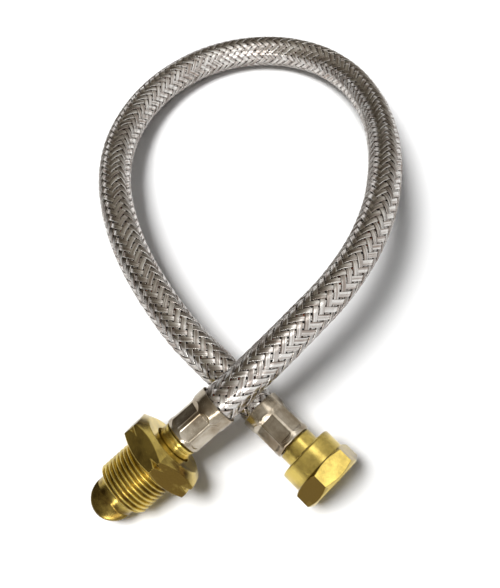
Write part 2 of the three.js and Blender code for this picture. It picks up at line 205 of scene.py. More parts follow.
# Room light: the brighter side, and colours from the far side of the room to that side
BRIGHT_SIDE = (0.81, -0.46, 0.36)
WORLD_STOPS = [
    (0.0, (0.07, 0.06, 0.045)), (0.25, (0.15, 0.13, 0.10)), (0.5, (0.34, 0.31, 0.26)),
    (0.7, (0.80, 0.78, 0.74)), (1.0, (1.0, 1.0, 1.0)),
]
WORLD_FILL = (0.13, 0.13, 0.13)
WALL_TOP = (0.10, 0.26)
FLOOR_HALF_WIDTH = 3.0
FLOOR_GREY = (0.6, 0.6, 0.6)
FLOOR_PALE_FROM, FLOOR_PALE_TO = 0.45, 1.1
WHITE = (1, 1, 1)


def make_camera():
    """The photograph's camera: it looks 60 degrees down, towards +Y."""
    data = bpy.data.cameras.new("photo_camera")
    data.lens = CAMERA_LENS_MM
    data.sensor_width = 36
    camera = bpy.data.objects.new("photo_camera", data)
    camera.location = CAMERA_PLACE
    camera.rotation_euler = (math.radians(CAMERA_TILT_DEG), 0, 0)
    bpy.context.scene.collection.objects.link(camera)
    bpy.context.scene.camera = camera


def fitting_axes(slope_deg, heading_deg, roll_deg=0):
    """Columns side, top and along of a fitting, turned about its axis by the roll."""
    slope, heading, roll = np.radians([slope_deg, heading_deg, roll_deg])
    along = np.array([
        math.cos(slope) * math.cos(heading),
        math.cos(slope) * math.sin(heading),
        math.sin(slope),
    ])
    side = np.array([math.sin(heading), -math.cos(heading), 0])
    top = np.cross(along, side)
    turned_side = math.cos(roll) * side + math.sin(roll) * top
    turned_top = math.cos(roll) * top - math.sin(roll) * side
    return np.stack([turned_side, turned_top, along], axis=1)


MALE_AXES = fitting_axes(MALE_SLOPE_DEG, MALE_HEADING_DEG)
MALE_NUT_AXES = fitting_axes(MALE_SLOPE_DEG, MALE_HEADING_DEG, MALE_ROLL_DEG)
FEMALE_AXES = fitting_axes(FEMALE_SLOPE_DEG, FEMALE_HEADING_DEG)


def hose_points():
    """The points that the hose passes through, from inside one bell to inside the other."""
    leads = np.array([HOSE_IN_BELL, HOSE_IN_BELL - STRAIGHT_LEAD / 2, -STRAIGHT_LEAD])
    start = MALE_BELL + leads[:, None] * MALE_AXES[:, 2]
    end = FEMALE_BELL + leads[::-1, None] * FEMALE_AXES[:, 2]
    return np.concatenate([start, ROUTE, end])


def centripetal_line(points, per_span=40):
    """Centripetal Catmull-Rom curve: on each span a cubic with end slopes from the neighbours."""
    before = 2 * points[0] - points[1]
    after = 2 * points[-1] - points[-2]
    p = np.concatenate([[before], points, [after]])
    x0, x1, x2, x3 = p[:-3], p[1:-2], p[2:-1], p[3:]
    d0, d1, d2 = (np.linalg.norm(b - a, axis=1)[:, None] ** 0.5
                  for a, b in ((x0, x1), (x1, x2), (x2, x3)))
    s1 = ((x1 - x0) / d0 - (x2 - x0) / (d0 + d1) + (x2 - x1) / d1) * d1
    s2 = ((x2 - x1) / d1 - (x3 - x1) / (d1 + d2) + (x3 - x2) / d2) * d1
    t = np.linspace(0, 1, per_span, endpoint=False)[None, :, None]
    x1, x2, s1, s2 = x1[:, None], x2[:, None], s1[:, None], s2[:, None]
    square = (3 * (x2 - x1) - 2 * s1 - s2) * t ** 2
    cube = (2 * (x1 - x2) + s1 + s2) * t ** 3
    curve = x1 + s1 * t + square + cube
    return np.concatenate([curve.reshape(-1, 3), points[-1:]])


class HoseLine:
    """The hose's centre line by arc length, with a side and a top direction square to it."""

    def __init__(self):
        fine = centripetal_line(hose_points())
        steps = np.linalg.norm(np.diff(fine, axis=0), axis=1)
        self.at = np.concatenate([[0], np.cumsum(steps)])
        self.length = self.at[-1]
        tangent = np.gradient(fine, self.at, axis=0)
        tangent /= np.linalg.norm(tangent, axis=1)[:, None]
        side = np.cross(tangent, [0, 0, 1])
        side /= np.linalg.norm(side, axis=1)[:, None]
        self.table = np.concatenate([fine, side, np.cross(side, tangent)], axis=1)

    def look_up(self, distance):
        """Centre, side and top at any array of distances along the line."""
        flat = np.clip(distance, 0, self.length).ravel()
        rows = [np.interp(flat, self.at, column) for column in self.table.T]
        values = np.stack(rows, axis=-1).reshape(*np.shape(distance), 9)
        return values[..., :3], values[..., 3:6], values[..., 6:]

    def place(self, distance, angle, radius):
        """A point at that distance along, angle round and radius out from the line."""
        centre, side, top = self.look_up(distance)
        out = np.cos(angle)[..., None] * side + np.sin(angle)[..., None] * top
        return centre + radius[..., None] * out


def new_mesh(name, points, quads, uv, material, attributes=()):
    """A piece from points, quads and one UV pair for each corner of each quad."""
    mesh = bpy.data.meshes.new(name)
    mesh.vertices.add(len(points))
    mesh.vertices.foreach_set("co", points.astype(np.float32).ravel())
    mesh.loops.add(quads.size)
    mesh.loops.foreach_set("vertex_index", quads.astype(np.int32).ravel())
    mesh.polygons.add(len(quads))
    mesh.polygons.foreach_set("loop_start", np.arange(0, quads.size, 4, dtype=np.int32))
    mesh.polygons.foreach_set("use_smooth", np.ones(len(quads), bool))
    mesh.update(calc_edges=True)
    layer = mesh.uv_layers.new(name="surface")
    layer.data.foreach_set("uv", uv.astype(np.float32).ravel())
    for attribute, values in attributes:
        point_values = mesh.attributes.new(attribute, "FLOAT", "POINT")
        point_values.data.foreach_set("value", values.astype(np.float32).ravel())
    mesh.materials.append(material)
    piece = bpy.data.objects.new(name, mesh)
    bpy.context.scene.collection.objects.link(piece)
    return piece


def wrapped_quads(rows, columns, wrap_rows=True):
    """Quads of a grid whose columns close on themselves, and whose rows do too if asked.

    Corner (i, j) joins (i, j), (i, j + 1), (i + 1, j + 1) and (i + 1, j)."""
    i = np.arange(rows if wrap_rows else rows - 1)[:, None]
    j = np.arange(columns)[None, :]
    i2, j2 = (i + 1) % rows, (j + 1) % columns
    return np.stack([
        i * columns + j, i * columns + j2, i2 * columns + j2, i2 * columns + j,
    ], axis=-1).reshape(-1, 4)


def grid_uv(u, v):
    """UV pairs for the corners of each cell between the given column and row values."""
    u0, u1 = u[:-1], u[1:]
    v0, v1 = v[:-1], v[1:]
    shape = (len(v0), len(u0))
    corners = [(u0, v0), (u1, v0), (u1, v1), (u0, v1)]
    pairs = [
        np.stack([np.broadcast_to(a[None, :], shape), np.broadcast_to(b[:, None], shape)], axis=-1)
        for a, b in corners
    ]
    return np.stack(pairs, axis=2).reshape(-1, 2)


def smooth_min(a, b, blend):
    """The smaller of two surfaces with the edge between them rounded over the blend."""
    h = np.clip(0.5 + 0.5 * (b - a) / blend, 0, 1)
    return b + (a - b) * h - blend * h * (1 - h)


def rounded(corners, rounding, step):
    """A closed profile with each corner replaced by a quadratic arc and long runs cut into steps.

    A corner is (radius, height) or (radius, height, own rounding)."""
    places = np.array([c[:2] for c in corners], float)
    own = np.array([c[2] if len(c) > 2 else rounding for c in corners])
    before, after = np.roll(places, 1, axis=0) - places, np.roll(places, -1, axis=0) - places
    room_before, room_after = (np.linalg.norm(x, axis=1) for x in (before, after))
    cut = np.minimum(own, 0.42 * np.minimum(room_before, room_after))
    enter = places + before / room_before[:, None] * cut[:, None]
    leave = places + after / room_after[:, None] * cut[:, None]
    path = []
    for k, corner in enumerate(places):
        bends = 4 if cut[k] > 0.05 * MM else 1
        t = np.linspace(0, 1, bends + 1)[:, None]
        path.append((1 - t) ** 2 * enter[k] + 2 * t * (1 - t) * corner + t ** 2 * leave[k])
        run = enter[(k + 1) % len(places)] - leave[k]
        parts = max(1, math.ceil(np.linalg.norm(run) / step))
        path.append(leave[k] + run * (np.arange(1, parts) / parts)[:, None])
    return np.concatenate(path)


def even_angles(count):
    """Equal steps round the axis."""
    return np.linspace(0, TAU, count, endpoint=False)


def clustered_angles(sectors, per_sector):
    """Angles round the axis that crowd together at the corners between sectors."""
    t = np.linspace(-1, 1, per_sector, endpoint=False)
    within = np.sin(t * math.pi / 2) * math.pi / sectors
    centres = (np.arange(sectors) + 0.5) * TAU / sectors
    return (centres[:, None] + within[None, :]).ravel()


def turned_piece(name, profile, angles, axes, origin, material, shape=None, dull=None):
    """A closed profile carried round the fitting's axis.

    The shape rule may change the radius at each angle and height, as flats and threads do.
    The dull rule gives the share of darker brass from radius, height, angle and how far flats cut in:
    painted shade on the nuts, and oxide with painted shade on the nose."""
    turned = np.broadcast_to(profile[:, :1], (len(profile), len(angles))).copy()
    height = np.broadcast_to(profile[:, 1:], turned.shape)
    radius = shape(turned, height, angles[None, :]) if shape else turned
    pressed = np.clip((turned - radius) / PRESSED_FULLY, 0, 1)
    dulled = dull(radius, height, angles[None, :], pressed) if dull else np.zeros(radius.shape)
    local = np.stack([radius * np.cos(angles), radius * np.sin(angles), height], axis=-1)
    points = local.reshape(-1, 3) @ axes.T + origin
    along = np.concatenate([profile, profile[:1]])
    travelled = np.concatenate([[0], np.cumsum(np.linalg.norm(np.diff(along, axis=0), axis=1))])
    round_by = np.concatenate([angles, angles[:1] + TAU]) / TAU
    quads = wrapped_quads(len(profile), len(angles))
    uv = grid_uv(round_by, travelled / UV_LENGTH)
    signed = profile[:, 0] * np.roll(profile[:, 1], -1) - np.roll(profile[:, 0], -1) * profile[:, 1]
    if signed.sum() < 0:
        quads = quads[:, ::-1]
        uv = uv.reshape(-1, 4, 2)[:, ::-1].reshape(-1, 2)
    return new_mesh(name, points, quads, uv, material, [("dull", dulled)])


def hexagon_rule(across, low, high):
    """Radius rule that cuts six flats between two heights, with lightly rounded edges.

    A flat is the plane across / 2 from the axis. Surfaces well inside it, as the bore, are left."""
    def cut(radius, height, angles):
        sector = np.mod(angles, TAU / 6) - math.pi / 6
        flats = across / 2 / np.cos(sector)
        inside = (height > low) & (height < high) & (radius > across / 2 - 0.6 * MM)
        return np.where(inside, smooth_min(radius, flats, HEX_EDGE), radius)
    return cut


def painted_flat_shade(tones, rim, root, crest, start):
    """Dull rule of a nut: painted shade, set flat by flat, for the dark surroundings that each flat
    reflects.

    The chamfers beyond the rim take a share of it. On the thread, painted shade grows from crest to
    root."""
    def paint_shade(radius, height, angles, pressed):
        sector = np.floor(np.mod(angles, TAU) / (TAU / 6)).astype(int) % 6
        shade_share = np.maximum(pressed, CHAMFER_PAINTED_SHADE * np.clip((radius - rim) / (0.8 * MM), 0, 1))
        depth = np.clip((radius - crest) / (root - crest), 0, 1)
        near_thread = np.abs(radius - (root + crest) / 2) < 0.7 * abs(crest - root)
        threaded = (height > start) & near_thread
        return np.where(threaded, THREAD_ROOT_PAINTED_SHADE * depth ** 2, shade_share * np.array(tones)[sector])
    return paint_shade


def thread_wave(turns):
    """Height of a rounded thread over the turns, 0 at the root and 1 at the crest.

    Half a turn is a flat root, a flank that is half a cosine, and a flat crest."""
    saw = np.abs(np.mod(turns, 1) - 0.5) * 2
    flank = np.clip((saw - THREAD_ROOT_SHARE) / THREAD_FLANK_SHARE, 0, 1)
    return 0.5 - 0.5 * np.cos(math.pi * flank)


def thread_rule(root, crest, pitch, start, end, hand, fade):
    """Radius rule of a helical thread between two heights, running out over the fade length."""
    def cut(radius, height, angles):
        wave = thread_wave((height - start) / pitch - hand * angles / TAU)
        run = np.clip((height - start) / fade, 0, 1) * np.clip((end - height) / fade, 0, 1)
        threaded = (height > start) & (height < end) & (np.abs(radius - root) < 0.3 * MM)
        return np.where(threaded, radius + (crest - root) * wave * run, radius)
    return cut


def add_node(tree, kind, place, **values):
    """A node with its settings and input values by name."""
    node = tree.nodes.new(kind)
    node.location = place
    for key, value in values.items():
        if hasattr(node, key):
            setattr(node, key, value)
        else:
            node.inputs[key.replace("_", " ")].default_value = value
    return node


def map_range(tree, place, ends_from=(0, 1), ends_to=(0, 1), **values):
    """A Map Range node that carries one pair of ends onto the other."""
    return add_node(
        tree, "ShaderNodeMapRange", place, From_Min=ends_from[0], From_Max=ends_from[1],
        To_Min=ends_to[0], To_Max=ends_to[1], **values,
    )


def colour_mix(tree, place, first, second):
    """A Mix node that goes from the first colour to the second."""
    mix = add_node(tree, "ShaderNodeMix", place, data_type="RGBA")
    mix.inputs["A"].default_value = (*first, 1)
    mix.inputs["B"].default_value = (*second, 1)
    return mix


def new_material(name, metallic=0):
    """A material with nodes, its tree and its Principled BSDF."""
    material = bpy.data.materials.new(name)
    material.use_nodes = True
    shader = material.node_tree.nodes["Principled BSDF"]
    shader.inputs["Metallic"].default_value = metallic
    return material, material.node_tree, shader


def turning_marks_group():
    """Node group of fine rings that a lathe tool leaves, from the piece's own UV map.

    Noise stretched round the axis gives rings, and broad noise gives tarnish."""
    group = bpy.data.node_groups.new("turning_marks", "ShaderNodeTree")
    sockets = [
        ("Ring Scale", "INPUT"), ("Tarnish Scale", "INPUT"), ("Rings", "OUTPUT"), ("Tarnish", "OUTPUT"),
    ]
    for name, in_out in sockets:
        group.interface.new_socket(name=name, in_out=in_out, socket_type="NodeSocketFloat")
    given = group.nodes.new("NodeGroupInput")
    out = group.nodes.new("NodeGroupOutput")
    uv = add_node(group, "ShaderNodeUVMap", (-800, 200), uv_map="surface")
    stretch = add_node(group, "ShaderNodeVectorMath", (-600, 200), operation="MULTIPLY")
    stretch.inputs[1].default_value = (2.0, 1.0, 1.0)
    rings = add_node(group, "ShaderNodeTexNoise", (-400, 200), Detail=4.0, Roughness=0.65)
    objects = group.nodes.new("ShaderNodeTexCoord")
    tarnish = add_node(group, "ShaderNodeTexNoise", (-400, -100), Detail=5.0, Roughness=0.6)
    link = group.links.new
    link(uv.outputs["UV"], stretch.inputs[0])
    link(stretch.outputs["Vector"], rings.inputs["Vector"])
    link(given.outputs["Ring Scale"], rings.inputs["Scale"])
    link(objects.outputs["Object"], tarnish.inputs["Vector"])
    link(given.outputs["Tarnish Scale"], tarnish.inputs["Scale"])
    link(rings.outputs["Fac"], out.inputs["Rings"])
    link(tarnish.outputs["Fac"], out.inputs["Tarnish"])
    return group


TURNING_MARKS = turning_marks_group()


def metal(name, light, dark, rough, tarnish=(0.42, 0.72)):
    """A turned metal: two tones mixed by tarnish and by the dull attribute, which carries painted shade
    on the nuts and oxide with painted shade on the nose; roughness and bump from the turning marks.
    """
    material, tree, shader = new_material(name, metallic=1)
    group = tree.nodes.new("ShaderNodeGroup")
    group.node_tree = TURNING_MARKS
    group.inputs["Ring Scale"].default_value = RING_SCALE
    group.inputs["Tarnish Scale"].default_value = TARNISH_SCALE
    spread = map_range(tree, (-500, 100), ends_from=tarnish)
    dull = add_node(tree, "ShaderNodeAttribute", (-700, 300), attribute_name="dull")
    # Tarnish noise plus the dull attribute's painted shade
    tarnish_plus_shade = add_node(tree, "ShaderNodeMath", (-350, 200), operation="ADD", use_clamp=True)
    colour = colour_mix(tree, (-200, 100), light, dark)
    gloss = map_range(tree, (-500, -200), ends_to=rough)
    bump = add_node(tree, "ShaderNodeBump", (-300, -400), Strength=0.06, Distance=0.4 * MM)
    link = tree.links.new
    link(group.outputs["Tarnish"], spread.inputs["Value"])
    link(spread.outputs["Result"], tarnish_plus_shade.inputs[0])
    link(dull.outputs["Fac"], tarnish_plus_shade.inputs[1])
    link(tarnish_plus_shade.outputs["Value"], colour.inputs["Factor"])
    link(colour.outputs["Result"], shader.inputs["Base Color"])
    link(group.outputs["Rings"], gloss.inputs["Value"])
    link(gloss.outputs["Result"], shader.inputs["Roughness"])
    link(group.outputs["Rings"], bump.inputs["Height"])
    link(bump.outputs["Normal"], shader.inputs["Normal"])
    return material


def wire_steel():
    """Bright steel wire: each wire has its own tone, with warm and dull stretches along it."""
    material, tree, shader = new_material("braid_wire_steel", metallic=1)
    tone = add_node(tree, "ShaderNodeAttribute", (-800, 200), attribute_name="wire_tone")
    where = tree.nodes.new("ShaderNodeTexCoord")
    patches = add_node(
        tree, "ShaderNodeTexNoise", (-600, 0), Scale=160.0, Detail=4.0, Roughness=0.6
    )
    mixed = add_node(tree, "ShaderNodeMath", (-400, 100), operation="ADD")
    spread = map_range(tree, (-250, 100), ends_from=(0.5, 1.5))
    colour = colour_mix(tree, (-100, 100), STEEL_LIGHT, STEEL_WARM)
    gloss = map_range(tree, (-250, -200), ends_to=STEEL_ROUGHNESS)
    link = tree.links.new
    link(where.outputs["Object"], patches.inputs["Vector"])
    link(tone.outputs["Fac"], mixed.inputs[0])
    link(patches.outputs["Fac"], mixed.inputs[1])
    link(mixed.outputs["Value"], spread.inputs["Value"])
    link(spread.outputs["Result"], colour.inputs["Factor"])
    link(colour.outputs["Result"], shader.inputs["Base Color"])
    link(patches.outputs["Fac"], gloss.inputs["Value"])
    link(gloss.outputs["Result"], shader.inputs["Roughness"])
    return material


def rubber(name, colour, bloom, rough):
    """Dull rubber with a fine grain in its roughness and bump, and a bloom of a second colour."""
    material, tree, shader = new_material(name)
    where = tree.nodes.new("ShaderNodeTexCoord")
    grain = add_node(tree, "ShaderNodeTexNoise", (-600, 0), Scale=1500.0, Detail=3.0)
    tone = colour_mix(tree, (-200, 200), colour, bloom)
    clouds = add_node(tree, "ShaderNodeTexNoise", (-600, 200), Scale=260.0, Detail=2.0)
    spread = map_range(tree, (-400, 200), ends_from=(0.5, 0.62))
    gloss = map_range(tree, (-250, -200), ends_to=(rough - 0.1, rough + 0.1))
    bump = add_node(tree, "ShaderNodeBump", (-250, -400), Strength=0.2, Distance=0.2 * MM)
    link = tree.links.new
    link(where.outputs["Object"], grain.inputs["Vector"])
    link(where.outputs["Object"], clouds.inputs["Vector"])
    link(clouds.outputs["Fac"], spread.inputs["Value"])
    link(spread.outputs["Result"], tone.inputs["Factor"])
    link(tone.outputs["Result"], shader.inputs["Base Color"])
    link(grain.outputs["Fac"], gloss.inputs["Value"])
    link(gloss.outputs["Result"], shader.inputs["Roughness"])
    link(grain.outputs["Fac"], bump.inputs["Height"])
    link(bump.outputs["Normal"], shader.inputs["Normal"])
    return material


def band_profile():
    """Across one band: a scallop over each wire, and a flat underside, in (offset, height)."""
    count = 2 * WIRES_PER_BAND + 1
    offset = np.linspace(-1, 1, count) * WIRES_PER_BAND * WIRE_RADIUS
    height = np.where(np.arange(count) % 2 == 1, WIRE_RADIUS, 0)
    height[[0, -1]] = -0.5 * WIRE_RADIUS
    return offset, height


def weave_wave(phase):
    """Over for two crossings and under for two: tanh(press * cos(pi * phase / 2)), scaled to 1."""
    return np.tanh(WAVE_PRESS * np.cos(math.pi * phase / 2)) / math.tanh(WAVE_PRESS)


def braid_bands(name, line, hand, material):
    """Twelve bands of wires that wind one way round the hose and pass over two and under two.

    A band's middle is at the angle TAU * (k / bands + hand * distance / lay).
    It rises and sinks about a mean radius by the weave wave, which counts its crossings."""
    random = np.random.default_rng(BAND_SEEDS[hand])
    half_pitch = LAY_LENGTH / CARRIERS_EACH_WAY / 2
    steps = int(line.length / half_pitch * STEPS_PER_CROSSING)
    distance = np.linspace(0, line.length, steps + 1)
    mean_radius = HOSE_RADIUS - WIRE_RADIUS - CROSSING_RISE
    turn_rate = TAU * mean_radius / LAY_LENGTH
    lay = math.atan(turn_rate)
    offset, height = band_profile()
    middle = distance[None, :, None]
    across = offset[None, None, :]
    carrier = np.arange(CARRIERS_EACH_WAY)[:, None, None]
    wander = random.uniform(0, TAU, (CARRIERS_EACH_WAY, 1, 2))
    slow, quick = (middle / wave for wave in DRIFT_WAVES)
    drift = BAND_DRIFT * (np.sin(slow + wander[..., :1]) + np.sin(quick + wander[..., 1:]))
    sideways = across + drift
    where = middle - hand * math.sin(lay) * sideways
    angle = TAU * (carrier / CARRIERS_EACH_WAY + hand * middle / LAY_LENGTH)
    angle = angle + math.cos(lay) * sideways / mean_radius
    crossing = middle / half_pitch
    phase = 2 * carrier + crossing - 0.5 if hand > 0 else 2 * carrier - crossing - 2.5
    radius = mean_radius + CROSSING_RISE * weave_wave(phase) + height[None, None, :]
    points = line.place(where, angle, np.broadcast_to(radius, where.shape))
    rows, columns = steps + 1, len(offset)
    one = wrapped_quads(rows, columns, wrap_rows=False)
    if hand > 0:
        one = one[:, ::-1]
    first_point = (np.arange(CARRIERS_EACH_WAY) * rows * columns)[:, None, None]
    quads = (one[None] + first_point).reshape(-1, 4)
    run = distance / math.cos(lay) / UV_LENGTH
    uv = np.tile(grid_uv(np.linspace(0, 1, columns + 1), run), (CARRIERS_EACH_WAY, 1))
    wire = np.minimum(np.arange(columns) // 2, WIRES_PER_BAND - 1)
    own_tone = random.uniform(0, 1, (CARRIERS_EACH_WAY, WIRES_PER_BAND))[:, wire]
    tone = np.broadcast_to(own_tone[:, None, :], (CARRIERS_EACH_WAY, rows, columns))
    return new_mesh(name, points.reshape(-1, 3), quads, uv, material, [("wire_tone", tone)])


def rubber_tube(line, material):
    """The rubber hose under the wires: a round tube whose open ends are inside the ferrules.

    Its rings run out along the hose at the outer radius and back at the bore's, and close."""
    stations = np.linspace(0, line.length, TUBE_STATIONS)
    angles = even_angles(TUBE_ANGLES)
    outer = np.full((len(stations), 1), RUBBER_RADIUS)
    inner = np.full((len(stations), 1), RUBBER_BORE)
    distance = np.concatenate([stations, stations[::-1]])[:, None]
    radius = np.concatenate([outer, inner])
    full = np.ones((len(distance), len(angles)))
    points = line.place(distance * full, angles[None, :] * full, radius * full)
    quads = wrapped_quads(len(distance), len(angles))
    u = np.linspace(0, 1, len(angles) + 1)
    v = np.concatenate([distance[:, 0], distance[:1, 0]]) / UV_LENGTH
    return new_mesh("rubber_hose", points.reshape(-1, 3), quads, grid_uv(u, v), material)


def ferrule(name, axes, origin, material):
    """A crimped ferrule: a bell mouth, a barrel pressed flat by eight jaws, and a turned-in lip.

    Each flat is a plane at FLAT_DISTANCE whose ends ramp up, so that it meets the barrel in an arch.
    The jaws raise a thin burr round it: a bead exp(-(gap / width)^2) where plane and barrel meet."""
    lip_radius = NECK_RADIUS + TOUCH
    corners = [
        (BELL_BORE_RADIUS, 0), (BELL_RADIUS, 0, 0.35 * MM), (BELL_RADIUS, BELL_LENGTH, 0.8 * MM),
        (BARREL_RADIUS + 0.3 * MM, FLAT_START - 0.5 * MM, 0.5 * MM),
        (BARREL_RADIUS, FLAT_START + 0.8 * MM), (BARREL_RADIUS, CRIMP_LENGTH, 1.0 * MM),
        (lip_radius, CRIMP_LENGTH), (lip_radius, CRIMP_LENGTH - LIP_THICKNESS),
        (CRIMP_BORE_RADIUS, CRIMP_LENGTH - LIP_THICKNESS), (CRIMP_BORE_RADIUS, CRIMP_BORE_START),
        (BELL_BORE_RADIUS, BELL_BORE_DEPTH),
    ]

    def press(radius, height, angles):
        sector = np.mod(angles, TAU / FLAT_COUNT) - math.pi / FLAT_COUNT
        before = np.maximum(0, FLAT_START + FLAT_RAMP - height)
        behind = np.maximum(0, height - FLAT_END + FLAT_RAMP)
        flat = (FLAT_DISTANCE + FLAT_RAMP_SLOPE * (before + behind)) / np.cos(sector)
        outside = radius > JAWS_REACH_IN_TO
        burr = BURR_HEIGHT * np.exp(-((radius - flat) / BURR_WIDTH) ** 2)
        pressed = smooth_min(radius, flat, FLAT_EDGE) + burr
        return np.where(outside & (height > 0.5 * MM), pressed, radius)

    profile = rounded(corners, 0.15 * MM, 0.22 * MM)
    angles = even_angles(FERRULE_ANGLES_PER_FLAT * FLAT_COUNT)
    return turned_piece(name, profile, angles, axes, origin, material, press)


def bull_nose_spigot(material):
    """The spigot: neck, grooved collar, shank inside the nut and a round nose with a bore."""
    front = MALE_BACK + MALE_HEX_HEIGHT + MALE_THREAD_LENGTH
    tip = front + NOSE_REACH
    seat = front - NOSE_SEAT_DEPTH + TOUCH
    centre = tip - NOSE_RADIUS
    last = math.acos((BORE_RADIUS + 0.7 * MM) / NOSE_RADIUS)
    nose = [
        (NOSE_RADIUS * math.cos(a), centre + NOSE_RADIUS * math.sin(a), 0)
        for a in np.linspace(0, last, 30)
    ]
    groove = COLLAR_RADIUS - 0.4 * MM
    collar_end = MALE_BACK + MALE_COLLAR_INSIDE
    corners = [
        *STEM_CORNERS,
        (COLLAR_RADIUS, COLLAR_START + 1.0 * MM), (groove, COLLAR_START + 1.2 * MM),
        (groove, COLLAR_START + 1.5 * MM), (COLLAR_RADIUS, COLLAR_START + 1.7 * MM),
        (COLLAR_RADIUS, collar_end), (SHANK_RADIUS, collar_end + 1 * MM),
        (SHANK_RADIUS, seat), (NOSE_RADIUS, seat, 0.3 * MM), *nose,
        (BORE_RADIUS, nose[-1][1] - 0.6 * MM, 0.3 * MM),
    ]
    profile = rounded(corners, 0.1 * MM, TAIL_STEP)

    # The nose is darker brown beyond the nut: partly oxide, partly painted shade for the dark
    # surroundings that it reflects
    def nose_oxide_and_shade(radius, height, angles, pressed):
        return NOSE_OXIDE_AND_SHADE * np.clip((height - front - 0.8 * MM) / (1.5 * MM), 0, 1)

    return turned_piece(
        "bull_nose_spigot_fine", profile, even_angles(TAIL_ANGLES), MALE_AXES, MALE_BELL, material,
        dull=nose_oxide_and_shade,
    )


def male_nut(material):
    """The left-hand nut: a chamfered hexagon with notched corners, and a threaded shank."""
    hex_front = MALE_BACK + MALE_HEX_HEIGHT
    front = hex_front + MALE_THREAD_LENGTH
    root = MALE_THREAD_RADIUS - MALE_THREAD_DEPTH
    corner = MALE_ACROSS / math.sqrt(3) + HEX_SPARE
    back_drop = (corner - MALE_BACK_RIM) * CHAMFER_SLOPE
    front_drop = (corner - MALE_FRONT_RIM) * CHAMFER_SLOPE
    middle = MALE_BACK + MALE_HEX_HEIGHT / 2
    bore = COLLAR_RADIUS + TOUCH
    corners = [
        (MALE_RECESS_RADIUS, MALE_BACK, 0.2 * MM), (MALE_BACK_RIM, MALE_BACK, 0.3 * MM),
        (corner, MALE_BACK + back_drop, 0.05 * MM),
        (corner, middle - MALE_NOTCH_HALF_WIDTH, 0.05 * MM),
        (corner - MALE_NOTCH_DEPTH, middle, 0.15 * MM),
        (corner, middle + MALE_NOTCH_HALF_WIDTH, 0.05 * MM),
        (corner, hex_front - front_drop, 0.05 * MM),
        (MALE_FRONT_RIM, hex_front, 0.15 * MM), (root, hex_front, 0.3 * MM),
        (root, front - 0.6 * MM, 0.05 * MM), (root - 0.6 * MM, front),
        (NOSE_RADIUS + TOUCH, front, 0.1 * MM), (NOSE_RADIUS + TOUCH, front - NOSE_SEAT_DEPTH),
        (bore, front - NOSE_SEAT_DEPTH), (bore, MALE_BACK + MALE_RECESS_DEPTH + 0.5 * MM),
        (MALE_RECESS_RADIUS, MALE_BACK + MALE_RECESS_DEPTH),
    ]
    flats = hexagon_rule(MALE_ACROSS, MALE_BACK - 0.1 * MM, hex_front + 0.1 * MM)
    thread = thread_rule(
        root, MALE_THREAD_RADIUS, MALE_PITCH, hex_front + 0.7 * MM, front - 0.35 * MM,
        hand=-1, fade=0.9 * MM,
    )

    def shape(radius, height, angles):
        return thread(flats(radius, height, angles), height, angles)

    profile = rounded(corners, NUT_ROUNDING, NUT_STEP)
    angles = clustered_angles(6, NUT_ANGLES_PER_FLAT)
    # Painted shade on the flats, chamfers and thread roots of this nut
    dull = painted_flat_shade(
        MALE_FLAT_PAINTED_SHADE, MALE_BACK_RIM, root, MALE_THREAD_RADIUS, hex_front + 0.3 * MM
    )
    return turned_piece(
        "male_nut_fine", profile, angles, MALE_NUT_AXES, MALE_BELL, material, shape, dull
    )


def flat_seat_tail(material):
    """The tail of the flat-seat end: neck, collar and the flange that the washer seals on."""
    seat_back = FEMALE_BACK + FEMALE_WEB + TOUCH
    seat_front = seat_back + SEAT_THICKNESS
    corners = [
        *STEM_CORNERS, (COLLAR_RADIUS, seat_back), (SEAT_RADIUS, seat_back),
        (SEAT_RADIUS, seat_front, 0.25 * MM), (BORE_RADIUS, seat_front, 0.3 * MM),
    ]
    profile = rounded(corners, 0.1 * MM, TAIL_STEP)
    return turned_piece(
        "flat_seat_tail_fine", profile, even_angles(TAIL_ANGLES), FEMALE_AXES, FEMALE_BELL, material
    )


def sealing_washer(material):
    """The rubber washer on the flat seat."""
    low = FEMALE_BACK + FEMALE_WEB + TOUCH + SEAT_THICKNESS + TOUCH
    high = low + WASHER_THICKNESS
    inner = BORE_RADIUS + 0.6 * MM
    corners = [(inner, low), (SEAT_RADIUS, low), (SEAT_RADIUS, high), (inner, high)]
    profile = rounded(corners, 0.25 * MM, 0.5 * MM)
    return turned_piece(
        "sealing_washer_fine", profile, even_angles(WASHER_ANGLES), FEMALE_AXES, FEMALE_BELL,
        material,
    )


